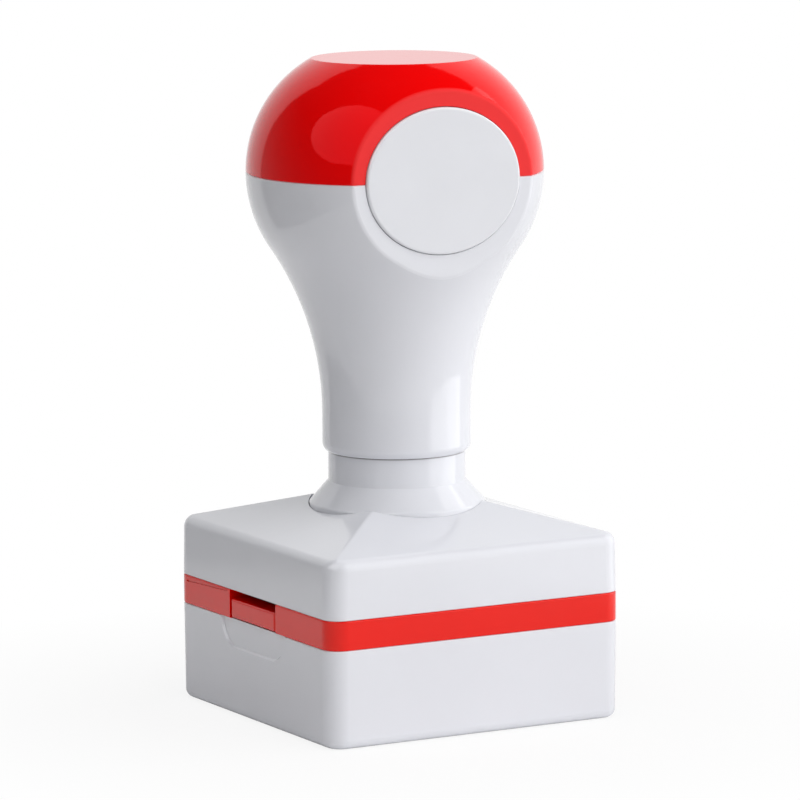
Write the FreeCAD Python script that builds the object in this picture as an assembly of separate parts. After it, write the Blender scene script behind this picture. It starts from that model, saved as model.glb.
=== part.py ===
import FreeCAD, Part
import math
import os

from FreeCAD import Vector

# A square pre-inked hand stamp with a bulb handle, closed by its dust cap. Millimetres, +Z up.
# The origin is the centre of the face it stands on. The badge faces -Y and the cap's thumb
# scoop faces -X.

# Square base
base_width = 45.0
corner_radius = 2.6
wall_lean = 0.1
parting_rounding = 0.2

# Dust cap
cap_height = 13.4
cap_wall = 1.6
cap_floor = 1.6
foot_rounding = 1.2
scoop_width = 18.6
scoop_height = 4.0
scoop_corner = 4.0
scoop_depth = 0.3

# Red frame: the band that shows and the square tube that carries it
band_height = 4.0
tube_wall = 1.3
tube_above_band = 3.5
tube_inside_corner = 0.1
skirt_lift = 1.6
notch_width = 13.4
hairline_start = 7.3
hairline_length = 12.3
hairline_width = 0.22
hairline_depth = 0.15
hairline_drop = 0.15
hairline_slant_degrees = 2.3

# Catch tongue in the notch of the band
catch_side_gap = 0.35
catch_top_gap = 1.25
catch_bottom_gap = 0.15
catch_setback = 0.05
catch_pad_thickness = 2.2
catch_leaf_thickness = 1.0
catch_bead_radius = 0.65
catch_root_height = 2.4
catch_edge_rounding = 0.3

# Upper housing
roof_wall = 1.8
housing_wall_height = 7.75
roof_slope_degrees = 16.2
eave_rounding = 1.6
ridge_rounding = 1.2
roof_land_radius = 13.5
roof_land_thickness = 2.0

# Guide collar on the roof
collar_rim_radius = 12.05
collar_pocket_depth = 0.36
collar_rim_height = 1.2
collar_rim_rounding = 0.35
collar_cone_height = 2.8
collar_cone_inset = 0.2
sleeve_radius = 9.4
sleeve_wall = 1.5
sleeve_height = 10.5
collar_web_above_seat = 1.5
spigot_radius = 7.0
spigot_length = 4.7

# Ring nut under the roof
nut_radius = 10.5
nut_height = 2.2
nut_notch_width = 3.0
nut_notch_depth = 1.2

# Bearing, stem and stops
stem_radius = 4.0
bush_wall = 1.0
bush_flange_radius = 6.6
bush_flange_height = 1.2
stop_ring_radius = 6.3
stop_ring_height = 1.0
stem_hub_radius = 6.0
stem_foot_radius = 11.4
stem_foot_height = 2.0
stem_socket_depth = 1.0

# Return spring
spring_wire = 1.0
spring_mean_radius = 6.0
spring_turns = 6
spring_washer_height = 0.6
spring_washer_radius = 7.6

# Travel of the handle
press_travel = 3.6
pressed_gap = 0.5
print_reach = 0.4

# Handle
neck_radius = 10.17
neck_bore_height = 10.6
lip_rounding_height = 1.1
lip_flat = 0.12
waist_radius = 40.0
bulb_radius = 20.28
lower_arc_radius = 18.4
upper_arc_radius = 17.6
seam_above_lip = 38.25
dome_height = 15.35
handle_wall = 2.0
handle_web = 3.0
top_edge_rounding = 0.3
seam_bevel = 0.15
dome_spigot_depth = 3.0
dome_spigot_wall = 1.2
handle_turn_degrees = -4.1
screw_well_wall = 1.2
screw_well_height = 4.0

# Flat for the badge
flat_inset = 4.88
flat_wall = 2.2
flat_rounding = 0.8
badge_half_width = 11.3
badge_half_height = 9.87
badge_thickness = 1.4
badge_proud = 0.4
badge_rounding = 0.35

# Handle screw and washer
screw_radius = 1.5
screw_length = 16.0
screw_head_radius = 2.9
screw_head_height = 2.0
screw_slot_width = 0.8
screw_slot_depth = 1.0
washer_radius = 4.4
washer_height = 0.8

# Die stack, from the printing face up
foam_raise = 1.0
foam_flange = 1.0
foam_flange_width = 0.9
foam_border_width = 1.2
foam_border_depth = 0.3
pad_height = 4.2
carrier_plate = 3.0
carrier_lip_height = 2.0
carrier_lip_wall = 0.6
carrier_shoulder = 0.1
retainer_floor = 0.6
retainer_wall = 0.65
stack_gap = 0.4
carrier_screw_radius = 1.0
carrier_screw_spacing = 13.6
carrier_screw_length = 4.4
carrier_screw_head_radius = 1.9
carrier_screw_head_height = 1.3
carrier_screw_slot_width = 0.5
carrier_screw_slot_depth = 0.6

# How near an edge must lie to the place where it is looked for
nearness = 0.01

# Clearances
slide_gap = 0.3
fit_gap = 0.1
running_gap = 0.05

# Heights and half widths that follow from the values above
base_half = base_width / 2
cap_inner_half = base_half - cap_wall
tube_half = cap_inner_half - slide_gap
tube_inner_half = tube_half - tube_wall
skirt_bottom = cap_floor + skirt_lift
band_bottom = cap_height
band_top = band_bottom + band_height
tube_top = band_top + tube_above_band
housing_inner_half = tube_half + fit_gap
roof_slope = math.tan(math.radians(roof_slope_degrees))
eave_height = band_top + housing_wall_height
eave_half = base_half - wall_lean
roof_apex = eave_height + eave_half * roof_slope
collar_seat = roof_apex - collar_rim_radius * roof_slope - collar_pocket_depth
roof_land = collar_seat - roof_land_thickness
spigot_bottom = collar_seat - spigot_length
cone_bottom = collar_seat + collar_rim_height
cone_top = cone_bottom + collar_cone_height
web_top = collar_seat + collar_web_above_seat
sleeve_top = cone_top + sleeve_height
bush_radius = stem_radius + running_gap + bush_wall
bush_flange_bottom = spigot_bottom - bush_flange_height
stop_ring_bottom = bush_flange_bottom - stop_ring_height
spring_bottom = web_top + spring_washer_height
neck_bore_radius = sleeve_radius + fit_gap
lip_height = cone_top + pressed_gap + press_travel
web_bottom = lip_height + neck_bore_height
stem_top = web_bottom + stem_socket_depth
web_upper_face = web_bottom + handle_web
seam_height = lip_height + seam_above_lip
top_height = seam_height + dome_height
waist_centre_radius = neck_radius + waist_radius
lower_centre_radius = bulb_radius - lower_arc_radius
upper_centre_radius = bulb_radius - upper_arc_radius
centre_distance = waist_radius + lower_arc_radius
centre_offset = waist_centre_radius - lower_centre_radius
waist_centre_height = seam_height - math.sqrt(centre_distance ** 2 - centre_offset ** 2)
flat_distance = bulb_radius - flat_inset
flat_inner_distance = flat_distance - flat_wall
face_height = skirt_bottom + press_travel - print_reach
foam_flange_bottom = face_height + foam_raise
foam_top = foam_flange_bottom + foam_flange
pad_top = foam_top + pad_height
carrier_top = pad_top + carrier_plate
retainer_half = tube_inner_half - stack_gap
carrier_lip_half = retainer_half - retainer_wall - running_gap
carrier_half = carrier_lip_half + carrier_shoulder
carrier_inner_half = carrier_lip_half - carrier_lip_wall
pad_half = carrier_inner_half - fit_gap
face_half = pad_half - foam_flange_width
carrier_shoulder_height = foam_flange_bottom + carrier_lip_height
retainer_bottom = foam_flange_bottom - retainer_floor
foot_top = carrier_top + stem_foot_height
catch_top = band_top - catch_top_gap
catch_bottom = band_bottom + catch_bottom_gap
catch_half_width = notch_width / 2 - catch_side_gap
catch_pivot_height = skirt_bottom + catch_root_height
catch_pivot_x = -(tube_half - tube_wall / 2)


def cylinder(radius, bottom, top):
    return Part.makeCylinder(radius, top - bottom, Vector(0, 0, bottom))


def ring(outer_radius, inner_radius, bottom, top):
    return cylinder(outer_radius, bottom, top).cut(cylinder(inner_radius, bottom, top))


def block(low, high):
    size = Vector(*high) - Vector(*low)
    return Part.makeBox(size.x, size.y, size.z, Vector(*low))


def centred_block(half_x, half_y, bottom, top):
    return block((-half_x, -half_y, bottom), (half_x, half_y, top))


def rounded_square(half, radius, height):
    """Closed wire of a square with round corners, at one height."""
    straight = half - radius
    edges = []
    for quarter in range(4):
        turn = FreeCAD.Rotation(Vector(0, 0, 1), 90 * quarter)
        middle = straight + radius * math.sqrt(0.5)
        start = turn.multVec(Vector(half, -straight, height))
        end = turn.multVec(Vector(half, straight, height))
        bend = turn.multVec(Vector(middle, middle, height))
        after = turn.multVec(Vector(straight, half, height))
        edges.append(Part.LineSegment(start, end).toShape())
        edges.append(Part.Arc(end, bend, after).toShape())
    return Part.Wire(edges)


def square_bar(half_bottom, half_top, radius, bottom, top):
    """Upright bar of rounded square section whose walls may lean."""
    wires = [
        rounded_square(half_bottom, radius, bottom),
        rounded_square(half_top, radius, top),
    ]
    return Part.makeLoft(wires, True, True)


def pyramid(apex_height, slope, bottom):
    """Square pyramid on the Z axis whose faces fall with the given slope."""
    half = (apex_height - bottom) / slope
    corners = [
        Vector(half, -half, bottom),
        Vector(half, half, bottom),
        Vector(-half, half, bottom),
        Vector(-half, -half, bottom),
    ]
    tip = Vector(0, 0, apex_height)
    faces = [Part.Face(Part.makePolygon(corners + [corners[0]]))]
    for first, second in zip(corners, corners[1:] + corners[:1]):
        faces.append(Part.Face(Part.makePolygon([first, second, tip, first])))
    return Part.makeSolid(Part.makeShell(faces))


def turned(edges):
    """Solid of revolution about Z from edges that close round a half section in the XZ plane."""
    face = Part.Face(Part.Wire(edges))
    return face.revolve(Vector(0, 0, 0), Vector(0, 0, 1), 360)


def line(start, end):
    return Part.LineSegment(Vector(start[0], 0, start[1]), Vector(end[0], 0, end[1])).toShape()


def arc(start, middle, end):
    points = [Vector(point[0], 0, point[1]) for point in (start, middle, end)]
    return Part.Arc(*points).toShape()


def arc_point(centre, radius, angle):
    return (centre[0] + radius * math.cos(angle), centre[1] + radius * math.sin(angle))


def edges_between(shape, low, high):
    """Edges of a shape that lie wholly between two heights."""
    found = []
    for edge in shape.Edges:
        box = edge.BoundBox
        if box.ZMin > low - nearness and box.ZMax < high + nearness:
            found.append(edge)
    return found


def edges_at(shape, height):
    """Edges of a shape that lie level at one height."""
    return edges_between(shape, height, height)


def make_dust_cap():
    bottom_half = base_half - wall_lean
    cap = square_bar(bottom_half, base_half, corner_radius, 0, cap_height)
    cap = cap.makeFillet(foot_rounding, edges_at(cap, 0))
    cap = cap.makeFillet(parting_rounding, edges_at(cap, cap_height))
    inner_radius = corner_radius - cap_wall
    inside = square_bar(cap_inner_half, cap_inner_half, inner_radius, cap_floor, cap_height)
    return cap.cut(inside).cut(make_scoop())


def make_scoop():
    """Shallow thumb recess with sloping sides, open at the rim, round at both lower corners."""
    outline = block(
        (-base_half - scoop_depth, -scoop_width / 2, cap_height - scoop_height),
        (-base_half + scoop_depth, scoop_width / 2, cap_height + scoop_height),
    )
    lower_corners = []
    for edge in outline.Edges:
        box = edge.BoundBox
        if box.XLength > scoop_depth and box.YLength < nearness and box.ZMax < cap_height:
            lower_corners.append(edge)
    outline = outline.makeFillet(scoop_corner, lower_corners)
    floor_x = -base_half + scoop_depth
    floor_edges = [edge for edge in outline.Edges if edge.BoundBox.XMin > floor_x - nearness]
    return outline.makeChamfer(scoop_depth, floor_edges)


def make_red_frame():
    band = square_bar(base_half, base_half, corner_radius, band_bottom, band_top)
    band_edges = edges_at(band, band_bottom) + edges_at(band, band_top)
    band = band.makeFillet(parting_rounding, band_edges)
    tube_radius = corner_radius - (base_half - tube_half)
    tube = square_bar(tube_half, tube_half, tube_radius, skirt_bottom, tube_top)
    inside = square_bar(
        tube_inner_half, tube_inner_half, tube_inside_corner, skirt_bottom, tube_top
    )
    frame = band.fuse(tube).cut(inside).removeSplitter()
    notch = block(
        (-base_half, -notch_width / 2, catch_pivot_height),
        (-tube_inner_half, notch_width / 2, band_top),
    )
    bead_seat = Part.makeCylinder(
        catch_bead_radius + running_gap,
        notch_width,
        Vector(catch_pivot_x, -notch_width / 2, catch_pivot_height),
        Vector(0, 1, 0),
    )
    return frame.cut([notch, bead_seat, make_hairline()])


def make_hairline():
    """Fine slanting line in the band between the notch and the rear corner."""
    top = band_top - hairline_drop
    line_cut = block(
        (-base_half, hairline_start, top - hairline_width),
        (-base_half + hairline_depth, hairline_start + hairline_length, top),
    )
    pivot = Vector(-base_half, hairline_start, top)
    line_cut.rotate(pivot, Vector(1, 0, 0), -hairline_slant_degrees)
    return line_cut


def make_cap_catch():
    """Tongue with a pad in the band's notch, on a leaf that pivots at a bead in the skirt."""
    outer_x = -(base_half - catch_setback)
    leaf_x = catch_pivot_x - catch_leaf_thickness / 2
    pad = block(
        (outer_x, -catch_half_width, catch_bottom),
        (outer_x + catch_pad_thickness, catch_half_width, catch_top),
    )
    front_edges = []
    for edge in pad.Edges:
        box = edge.BoundBox
        if box.XLength < nearness and box.XMax < outer_x + nearness:
            front_edges.append(edge)
    pad = pad.makeFillet(catch_edge_rounding, front_edges)
    leaf = block(
        (leaf_x, -catch_half_width, catch_pivot_height),
        (leaf_x + catch_leaf_thickness, catch_half_width, catch_top),
    )
    bead = Part.makeCylinder(
        catch_bead_radius,
        2 * catch_half_width,
        Vector(catch_pivot_x, -catch_half_width, catch_pivot_height),
        Vector(0, 1, 0),
    )
    return pad.fuse([leaf, bead]).removeSplitter()


def make_upper_housing():
    lean_to_apex = wall_lean * (roof_apex - band_top) / housing_wall_height
    bar = square_bar(base_half, base_half - lean_to_apex, corner_radius, band_top, roof_apex)
    body = bar.common(pyramid(roof_apex, roof_slope, band_top)).removeSplitter()
    ridges = [edge for edge in body.Edges if edge.BoundBox.ZMax > roof_apex - nearness]
    body = body.makeFillet(ridge_rounding, ridges)
    eaves = edges_between(body, eave_height, eave_height + corner_radius * roof_slope)
    body = body.makeFillet(eave_rounding, eaves)
    body = body.makeFillet(parting_rounding, edges_at(body, band_top))
    pocket = cylinder(collar_rim_radius + fit_gap, collar_seat, roof_apex)
    return body.cut(make_housing_hollow()).cut(pocket)


def make_housing_hollow():
    """Space inside the housing, with a level land left under the roof for the ring nut."""
    inner_radius = corner_radius - (base_half - housing_inner_half)
    inner_apex = roof_apex - roof_wall / math.cos(math.radians(roof_slope_degrees))
    walls = square_bar(housing_inner_half, housing_inner_half, inner_radius, band_top, roof_apex)
    hollow = walls.common(pyramid(inner_apex, roof_slope, band_top - 1))
    hollow = hollow.cut(cylinder(roof_land_radius, roof_land, roof_apex))
    return hollow.fuse(cylinder(spigot_radius + fit_gap, roof_land, roof_apex))


def make_guide_collar():
    bore = sleeve_radius - sleeve_wall
    cone_radius = collar_rim_radius - collar_cone_inset
    outside = [
        line((0, spigot_bottom), (spigot_radius, spigot_bottom)),
        line((spigot_radius, spigot_bottom), (spigot_radius, collar_seat)),
        line((spigot_radius, collar_seat), (collar_rim_radius, collar_seat)),
        line((collar_rim_radius, collar_seat), (collar_rim_radius, cone_bottom - collar_cone_inset)),
        line((collar_rim_radius, cone_bottom - collar_cone_inset), (cone_radius, cone_bottom)),
        line((cone_radius, cone_bottom), (sleeve_radius, cone_top)),
        line((sleeve_radius, cone_top), (sleeve_radius, sleeve_top)),
        line((sleeve_radius, sleeve_top), (0, sleeve_top)),
        line((0, sleeve_top), (0, spigot_bottom)),
    ]
    collar = turned(outside)
    rim_edges = []
    for edge in edges_between(collar, cone_bottom - collar_cone_inset, cone_bottom):
        if edge.Closed and edge.BoundBox.ZLength < nearness:
            rim_edges.append(edge)
    collar = collar.makeFillet(collar_rim_rounding, rim_edges)
    collar = collar.cut(cylinder(bore, web_top, sleeve_top))
    return collar.cut(cylinder(bush_radius, spigot_bottom, web_top))


def make_collar_nut():
    nut = ring(nut_radius, spigot_radius, roof_land - nut_height, roof_land)
    for quarter in range(4):
        notch = block(
            (nut_radius - nut_notch_depth, -nut_notch_width / 2, roof_land - nut_height),
            (nut_radius, nut_notch_width / 2, roof_land),
        )
        notch.rotate(Vector(0, 0, 0), Vector(0, 0, 1), 90 * quarter)
        nut = nut.cut(notch)
    return nut


def make_stem_bush():
    body = cylinder(bush_radius, bush_flange_bottom, web_top)
    flange = cylinder(bush_flange_radius, bush_flange_bottom, spigot_bottom)
    bore = cylinder(stem_radius + running_gap, bush_flange_bottom, web_top)
    return body.fuse(flange).cut(bore)


def make_spring_washer():
    return ring(spring_washer_radius, stem_radius + fit_gap, web_top, spring_bottom)


def make_return_spring():
    """Compression spring between the washer and the web inside the handle."""
    low = spring_bottom + spring_wire / 2
    high = web_bottom - spring_wire / 2
    path = Part.makeHelix((high - low) / spring_turns, high - low, spring_mean_radius)
    path.translate(Vector(0, 0, low))
    start = Vector(spring_mean_radius, 0, low)
    section = Part.Wire([Part.Circle(start, Vector(0, 1, 0), spring_wire / 2).toShape()])
    return Part.Wire(path.Edges).makePipeShell([section], True, True)


def make_plunger_stem():
    rod = cylinder(stem_radius, foot_top, stem_top)
    hub = cylinder(stem_hub_radius, foot_top, stop_ring_bottom)
    foot = cylinder(stem_foot_radius, carrier_top, foot_top)
    stem = rod.fuse([hub, foot])
    pilot = cylinder(screw_radius + running_gap, screw_tip() - 2 * running_gap, stem_top)
    stem = stem.cut(pilot)
    for place in carrier_screw_places():
        stem = stem.cut(upright_hole(place, carrier_screw_radius + running_gap, carrier_top, foot_top))
    return stem.removeSplitter()


def upright_hole(place, radius, bottom, top):
    return Part.makeCylinder(radius, top - bottom, Vector(place[0], place[1], bottom))


def make_stop_ring():
    return ring(stop_ring_radius, stem_radius + fit_gap, stop_ring_bottom, bush_flange_bottom)


def handle_section(inset, bottom, top):
    """Half section of the handle's outline, set in by a wall, between two heights."""
    neck = neck_radius - inset
    waist_centre = (waist_centre_radius, waist_centre_height)
    lower_centre = (lower_centre_radius, seam_height)
    upper_centre = (upper_centre_radius, seam_height)
    join_angle = math.atan2(waist_centre_height - seam_height, centre_offset)
    waist_arc = waist_radius + inset
    lower_arc = lower_arc_radius - inset
    upper_arc = upper_arc_radius - inset
    top_angle = math.asin((top - seam_height) / upper_arc)
    waist_start = (neck, waist_centre_height)
    waist_middle = arc_point(waist_centre, waist_arc, math.pi + join_angle / 2)
    waist_end = arc_point(waist_centre, waist_arc, math.pi + join_angle)
    lower_middle = arc_point(lower_centre, lower_arc, join_angle / 2)
    widest = (bulb_radius - inset, seam_height)
    upper_middle = arc_point(upper_centre, upper_arc, top_angle / 2)
    upper_end = arc_point(upper_centre, upper_arc, top_angle)
    return [
        line((0, bottom), (neck, bottom)),
        line((neck, bottom), waist_start),
        arc(waist_start, waist_middle, waist_end),
        arc(waist_end, lower_middle, widest),
        arc(widest, upper_middle, upper_end),
        line(upper_end, (0, top)),
        line((0, top), (0, bottom)),
    ]


def flat_cutter(distance):
    """Everything in front of the badge's flat, or of the same plane set in by a wall."""
    return block((-bulb_radius, -2 * bulb_radius, 0), (bulb_radius, -distance, 2 * top_height))


def make_handle_skin(bottom, top):
    """Outer body of one half of the handle, with its side of the seam bevelled."""
    handle = turned(handle_section(0, lip_height, top_height)).cut(flat_cutter(flat_distance))
    half = handle.common(centred_block(2 * bulb_radius, 2 * bulb_radius, bottom, top))
    half = half.makeChamfer(seam_bevel, edges_at(half, seam_height))
    flat_edges = []
    for edge in half.Edges:
        box = edge.BoundBox
        if box.YMax < nearness - flat_distance and box.ZLength > seam_bevel:
            flat_edges.append(edge)
    return half.makeFillet(flat_rounding, flat_edges)


def make_lip_cutter():
    """Ring that rounds the outer edge of the neck's lip."""
    end = (neck_bore_radius + lip_flat, lip_height)
    start = (neck_radius, lip_height + lip_rounding_height)
    width = start[0] - end[0]
    radius = (lip_rounding_height ** 2 + width ** 2) / (2 * width)
    centre = (start[0] - radius, start[1])
    half_turn = math.asin(lip_rounding_height / radius) / 2
    middle = arc_point(centre, radius, -half_turn)
    beyond = neck_radius + 1
    return turned([
        arc(end, middle, start),
        line(start, (beyond, start[1])),
        line((beyond, start[1]), (beyond, end[1])),
        line((beyond, end[1]), end),
    ])


def make_handle_cavity():
    """Space inside the handle above its web."""
    inside = turned(handle_section(handle_wall, lip_height, top_height - handle_wall))
    above_web = centred_block(bulb_radius, bulb_radius, web_upper_face, top_height)
    return inside.common(above_web).cut(flat_cutter(flat_inner_distance))


def make_badge_solid(half_width, half_height, front, depth):
    ellipse = Part.Ellipse(Vector(0, 0, 0), half_width, half_height)
    face = Part.Face(Part.Wire([ellipse.toShape()]))
    solid = face.extrude(Vector(0, 0, depth))
    solid.rotate(Vector(0, 0, 0), Vector(1, 0, 0), 90)
    solid.translate(Vector(0, depth - front, seam_height))
    return solid


def make_badge_recess():
    return make_badge_solid(
        badge_half_width + fit_gap,
        badge_half_height + fit_gap,
        flat_distance,
        badge_thickness - badge_proud,
    )


def turn_handle(shape):
    shape.rotate(Vector(0, 0, 0), Vector(0, 0, 1), handle_turn_degrees)
    return shape


def make_handle_dome():
    dome = make_handle_skin(seam_height, top_height)
    dome = dome.makeFillet(top_edge_rounding, edges_at(dome, top_height))
    dome = dome.cut(make_handle_cavity())
    dome = dome.fuse(make_dome_spigot()).removeSplitter()
    return turn_handle(dome.cut(make_badge_recess()))


def make_dome_spigot():
    """Ring under the dome that plugs into the grip, flat behind the badge."""
    bottom = seam_height - dome_spigot_depth
    top = seam_height + dome_spigot_wall
    arc_radius = lower_arc_radius - handle_wall
    drop = arc_radius - math.sqrt(arc_radius ** 2 - dome_spigot_depth ** 2)
    outer = bulb_radius - handle_wall - drop - fit_gap
    plug = cylinder(outer, bottom, seam_height).cut(flat_cutter(flat_inner_distance - fit_gap))
    root = cylinder(bulb_radius - handle_wall / 2, seam_height, top)
    root = root.cut(flat_cutter(flat_distance - flat_wall / 2))
    hollow = cylinder(outer - dome_spigot_wall, bottom, top)
    hollow = hollow.cut(flat_cutter(flat_inner_distance - fit_gap - dome_spigot_wall))
    return plug.fuse(root).cut(hollow)


def make_handle_bulb():
    bulb = make_handle_skin(lip_height, seam_height).cut(make_lip_cutter())
    bulb = bulb.cut(make_handle_cavity())
    bulb = bulb.cut(cylinder(neck_bore_radius, lip_height, web_bottom))
    bulb = bulb.cut(cylinder(stem_radius + fit_gap, web_bottom, stem_top))
    well_radius = washer_radius + slide_gap
    well_top = web_upper_face + screw_well_height
    bulb = bulb.fuse(ring(well_radius + screw_well_wall, well_radius, web_upper_face, well_top))
    bulb = bulb.cut(cylinder(screw_radius + fit_gap, web_bottom, web_upper_face))
    return turn_handle(bulb.cut(make_badge_recess()))


def make_handle_badge():
    badge = make_badge_solid(
        badge_half_width, badge_half_height, flat_distance + badge_proud, badge_thickness
    )
    front = -(flat_distance + badge_proud)
    front_edges = [edge for edge in badge.Edges if edge.BoundBox.YMax < front + nearness]
    return turn_handle(badge.makeFillet(badge_rounding, front_edges))


def screw_seat():
    return web_upper_face + washer_height


def screw_tip():
    return screw_seat() - screw_length


def make_handle_washer():
    return ring(washer_radius, screw_radius + fit_gap, web_upper_face, screw_seat())


def make_handle_screw():
    shank = cylinder(screw_radius, screw_tip(), screw_seat())
    head_top = screw_seat() + screw_head_height
    head = cylinder(screw_head_radius, screw_seat(), head_top)
    head = head.makeFillet(screw_head_height / 2, edges_at(head, head_top))
    slot_bottom = head_top - screw_slot_depth
    screw = shank.fuse(head)
    long_half = screw_head_radius / 2
    short_half = screw_slot_width / 2
    for half_x, half_y in ((long_half, short_half), (short_half, long_half)):
        screw = screw.cut(centred_block(half_x, half_y, slot_bottom, head_top))
    return screw


def carrier_screw_places():
    offset = carrier_screw_spacing / 2
    return [(x, y) for x in (-offset, offset) for y in (-offset, offset)]


def make_carrier_screws():
    screws = []
    head_top = foot_top + carrier_screw_head_height
    slot_bottom = head_top - carrier_screw_slot_depth
    for place in carrier_screw_places():
        tip = foot_top - carrier_screw_length
        shank = upright_hole(place, carrier_screw_radius, tip, foot_top)
        head = upright_hole(place, carrier_screw_head_radius, foot_top, head_top)
        slot = block(
            (place[0] - carrier_screw_head_radius, place[1] - carrier_screw_slot_width / 2, slot_bottom),
            (place[0] + carrier_screw_head_radius, place[1] + carrier_screw_slot_width / 2, head_top),
        )
        screws.append(shank.fuse(head).cut(slot))
    return Part.makeCompound(screws)


def make_die_carrier():
    """Square tray, open below, that holds the ink pad and the foam."""
    radius = corner_radius / 2
    lip = square_bar(
        carrier_lip_half, carrier_lip_half, radius, foam_flange_bottom, carrier_shoulder_height
    )
    body = square_bar(carrier_half, carrier_half, radius, carrier_shoulder_height, carrier_top)
    hollow = centred_block(carrier_inner_half, carrier_inner_half, foam_flange_bottom, pad_top)
    carrier = body.fuse(lip).cut(hollow)
    tip = foot_top - carrier_screw_length - 2 * running_gap
    for place in carrier_screw_places():
        hole = upright_hole(place, carrier_screw_radius + running_gap, tip, carrier_top)
        carrier = carrier.cut(hole)
    return carrier


def make_ink_pad():
    return centred_block(pad_half, pad_half, foam_top, pad_top)


def make_stamp_foam():
    """Foam sheet with a raised printing face: a plain border round a bare field."""
    sheet = centred_block(pad_half, pad_half, foam_flange_bottom, foam_top)
    face = centred_block(face_half, face_half, face_height, foam_flange_bottom)
    field_half = face_half - foam_border_width
    field = centred_block(field_half, field_half, face_height, face_height + foam_border_depth)
    return sheet.fuse(face).cut(field)


def make_foam_retainer():
    """Clip-on frame that holds the foam's edge against the carrier."""
    radius = corner_radius / 2
    top = carrier_shoulder_height - fit_gap
    outside = square_bar(retainer_half, retainer_half, radius, retainer_bottom, top)
    window_half = face_half + fit_gap
    window = centred_block(window_half, window_half, retainer_bottom, foam_flange_bottom)
    seat_half = carrier_lip_half + running_gap
    seat = square_bar(seat_half, seat_half, radius, foam_flange_bottom, top)
    return outside.cut(window).cut(seat)


def build():
    return {
        "dust_cap": make_dust_cap(),
        "red_frame": make_red_frame(),
        "cap_catch": make_cap_catch(),
        "upper_housing": make_upper_housing(),
        "guide_collar": make_guide_collar(),
        "collar_nut": make_collar_nut(),
        "stem_bush": make_stem_bush(),
        "spring_washer": make_spring_washer(),
        "return_spring": make_return_spring(),
        "plunger_stem": make_plunger_stem(),
        "stop_ring": make_stop_ring(),
        "handle_dome": make_handle_dome(),
        "handle_bulb": make_handle_bulb(),
        "handle_badge": make_handle_badge(),
        "handle_washer": make_handle_washer(),
        "handle_screw": make_handle_screw(),
        "carrier_screws": make_carrier_screws(),
        "die_carrier": make_die_carrier(),
        "ink_pad": make_ink_pad(),
        "stamp_foam": make_stamp_foam(),
        "foam_retainer": make_foam_retainer(),
    }


def main():
    os.makedirs("parts", exist_ok=True)
    for name, shape in build().items():
        shape.exportStep("parts/" + name + ".step")
        solids = len(shape.Solids)
        print(name, "solids", solids, "valid", shape.isValid(), "volume", round(shape.Volume, 1))


main()
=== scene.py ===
"""Dresses a packed hand stamp: plastics, metals, ink pad, foam and spring, in a small studio.

Everything is in metres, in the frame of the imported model: +Z up, badge towards -Y.
"""

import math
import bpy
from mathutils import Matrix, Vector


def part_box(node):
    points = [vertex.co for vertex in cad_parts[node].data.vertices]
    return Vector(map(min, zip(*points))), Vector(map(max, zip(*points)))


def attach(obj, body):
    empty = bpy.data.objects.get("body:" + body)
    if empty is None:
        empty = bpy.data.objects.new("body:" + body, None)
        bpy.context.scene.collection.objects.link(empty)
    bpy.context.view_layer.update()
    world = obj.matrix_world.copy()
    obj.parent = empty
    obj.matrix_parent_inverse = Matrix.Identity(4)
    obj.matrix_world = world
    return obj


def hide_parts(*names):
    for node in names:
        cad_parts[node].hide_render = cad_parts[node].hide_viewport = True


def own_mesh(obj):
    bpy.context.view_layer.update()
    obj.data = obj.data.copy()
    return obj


bl_info = {
    "name": "Bulb-handled hand stamp",
    "version": (1, 0, 0),
    "blender": (4, 5, 0),
    "location": "View3D > Sidebar > Stamp",
    "description": "Finishes the packed stamp and sets up its studio",
    "category": "Object",
}

import bpy
from mathutils import Matrix, Vector

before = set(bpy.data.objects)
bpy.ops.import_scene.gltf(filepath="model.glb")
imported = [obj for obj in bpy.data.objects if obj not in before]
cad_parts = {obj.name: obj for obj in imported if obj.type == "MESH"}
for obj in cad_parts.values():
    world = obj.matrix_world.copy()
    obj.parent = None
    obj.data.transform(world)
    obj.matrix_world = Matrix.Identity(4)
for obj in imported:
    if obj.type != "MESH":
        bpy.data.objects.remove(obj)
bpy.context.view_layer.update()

MILLIMETRE = 0.001


def linear(code):
    """Turns an sRGB hex colour, such as "#E3140C", into the linear colour that Blender wants."""
    channels = [int(code[start : start + 2], 16) / 255 for start in (1, 3, 5)]
    return [
        value / 12.92 if value <= 0.04045 else ((value + 0.055) / 1.055) ** 2.4
        for value in channels
    ]


def colour_property(label, code, description):
    return bpy.props.FloatVectorProperty(
        name=label,
        description=description,
        subtype="COLOR",
        size=3,
        min=0,
        max=1,
        default=linear(code),
    )


def length_property(label, metres, description):
    return bpy.props.FloatProperty(
        name=label,
        description=description,
        unit="LENGTH",
        min=0,
        precision=5,
        default=metres,
    )


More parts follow.
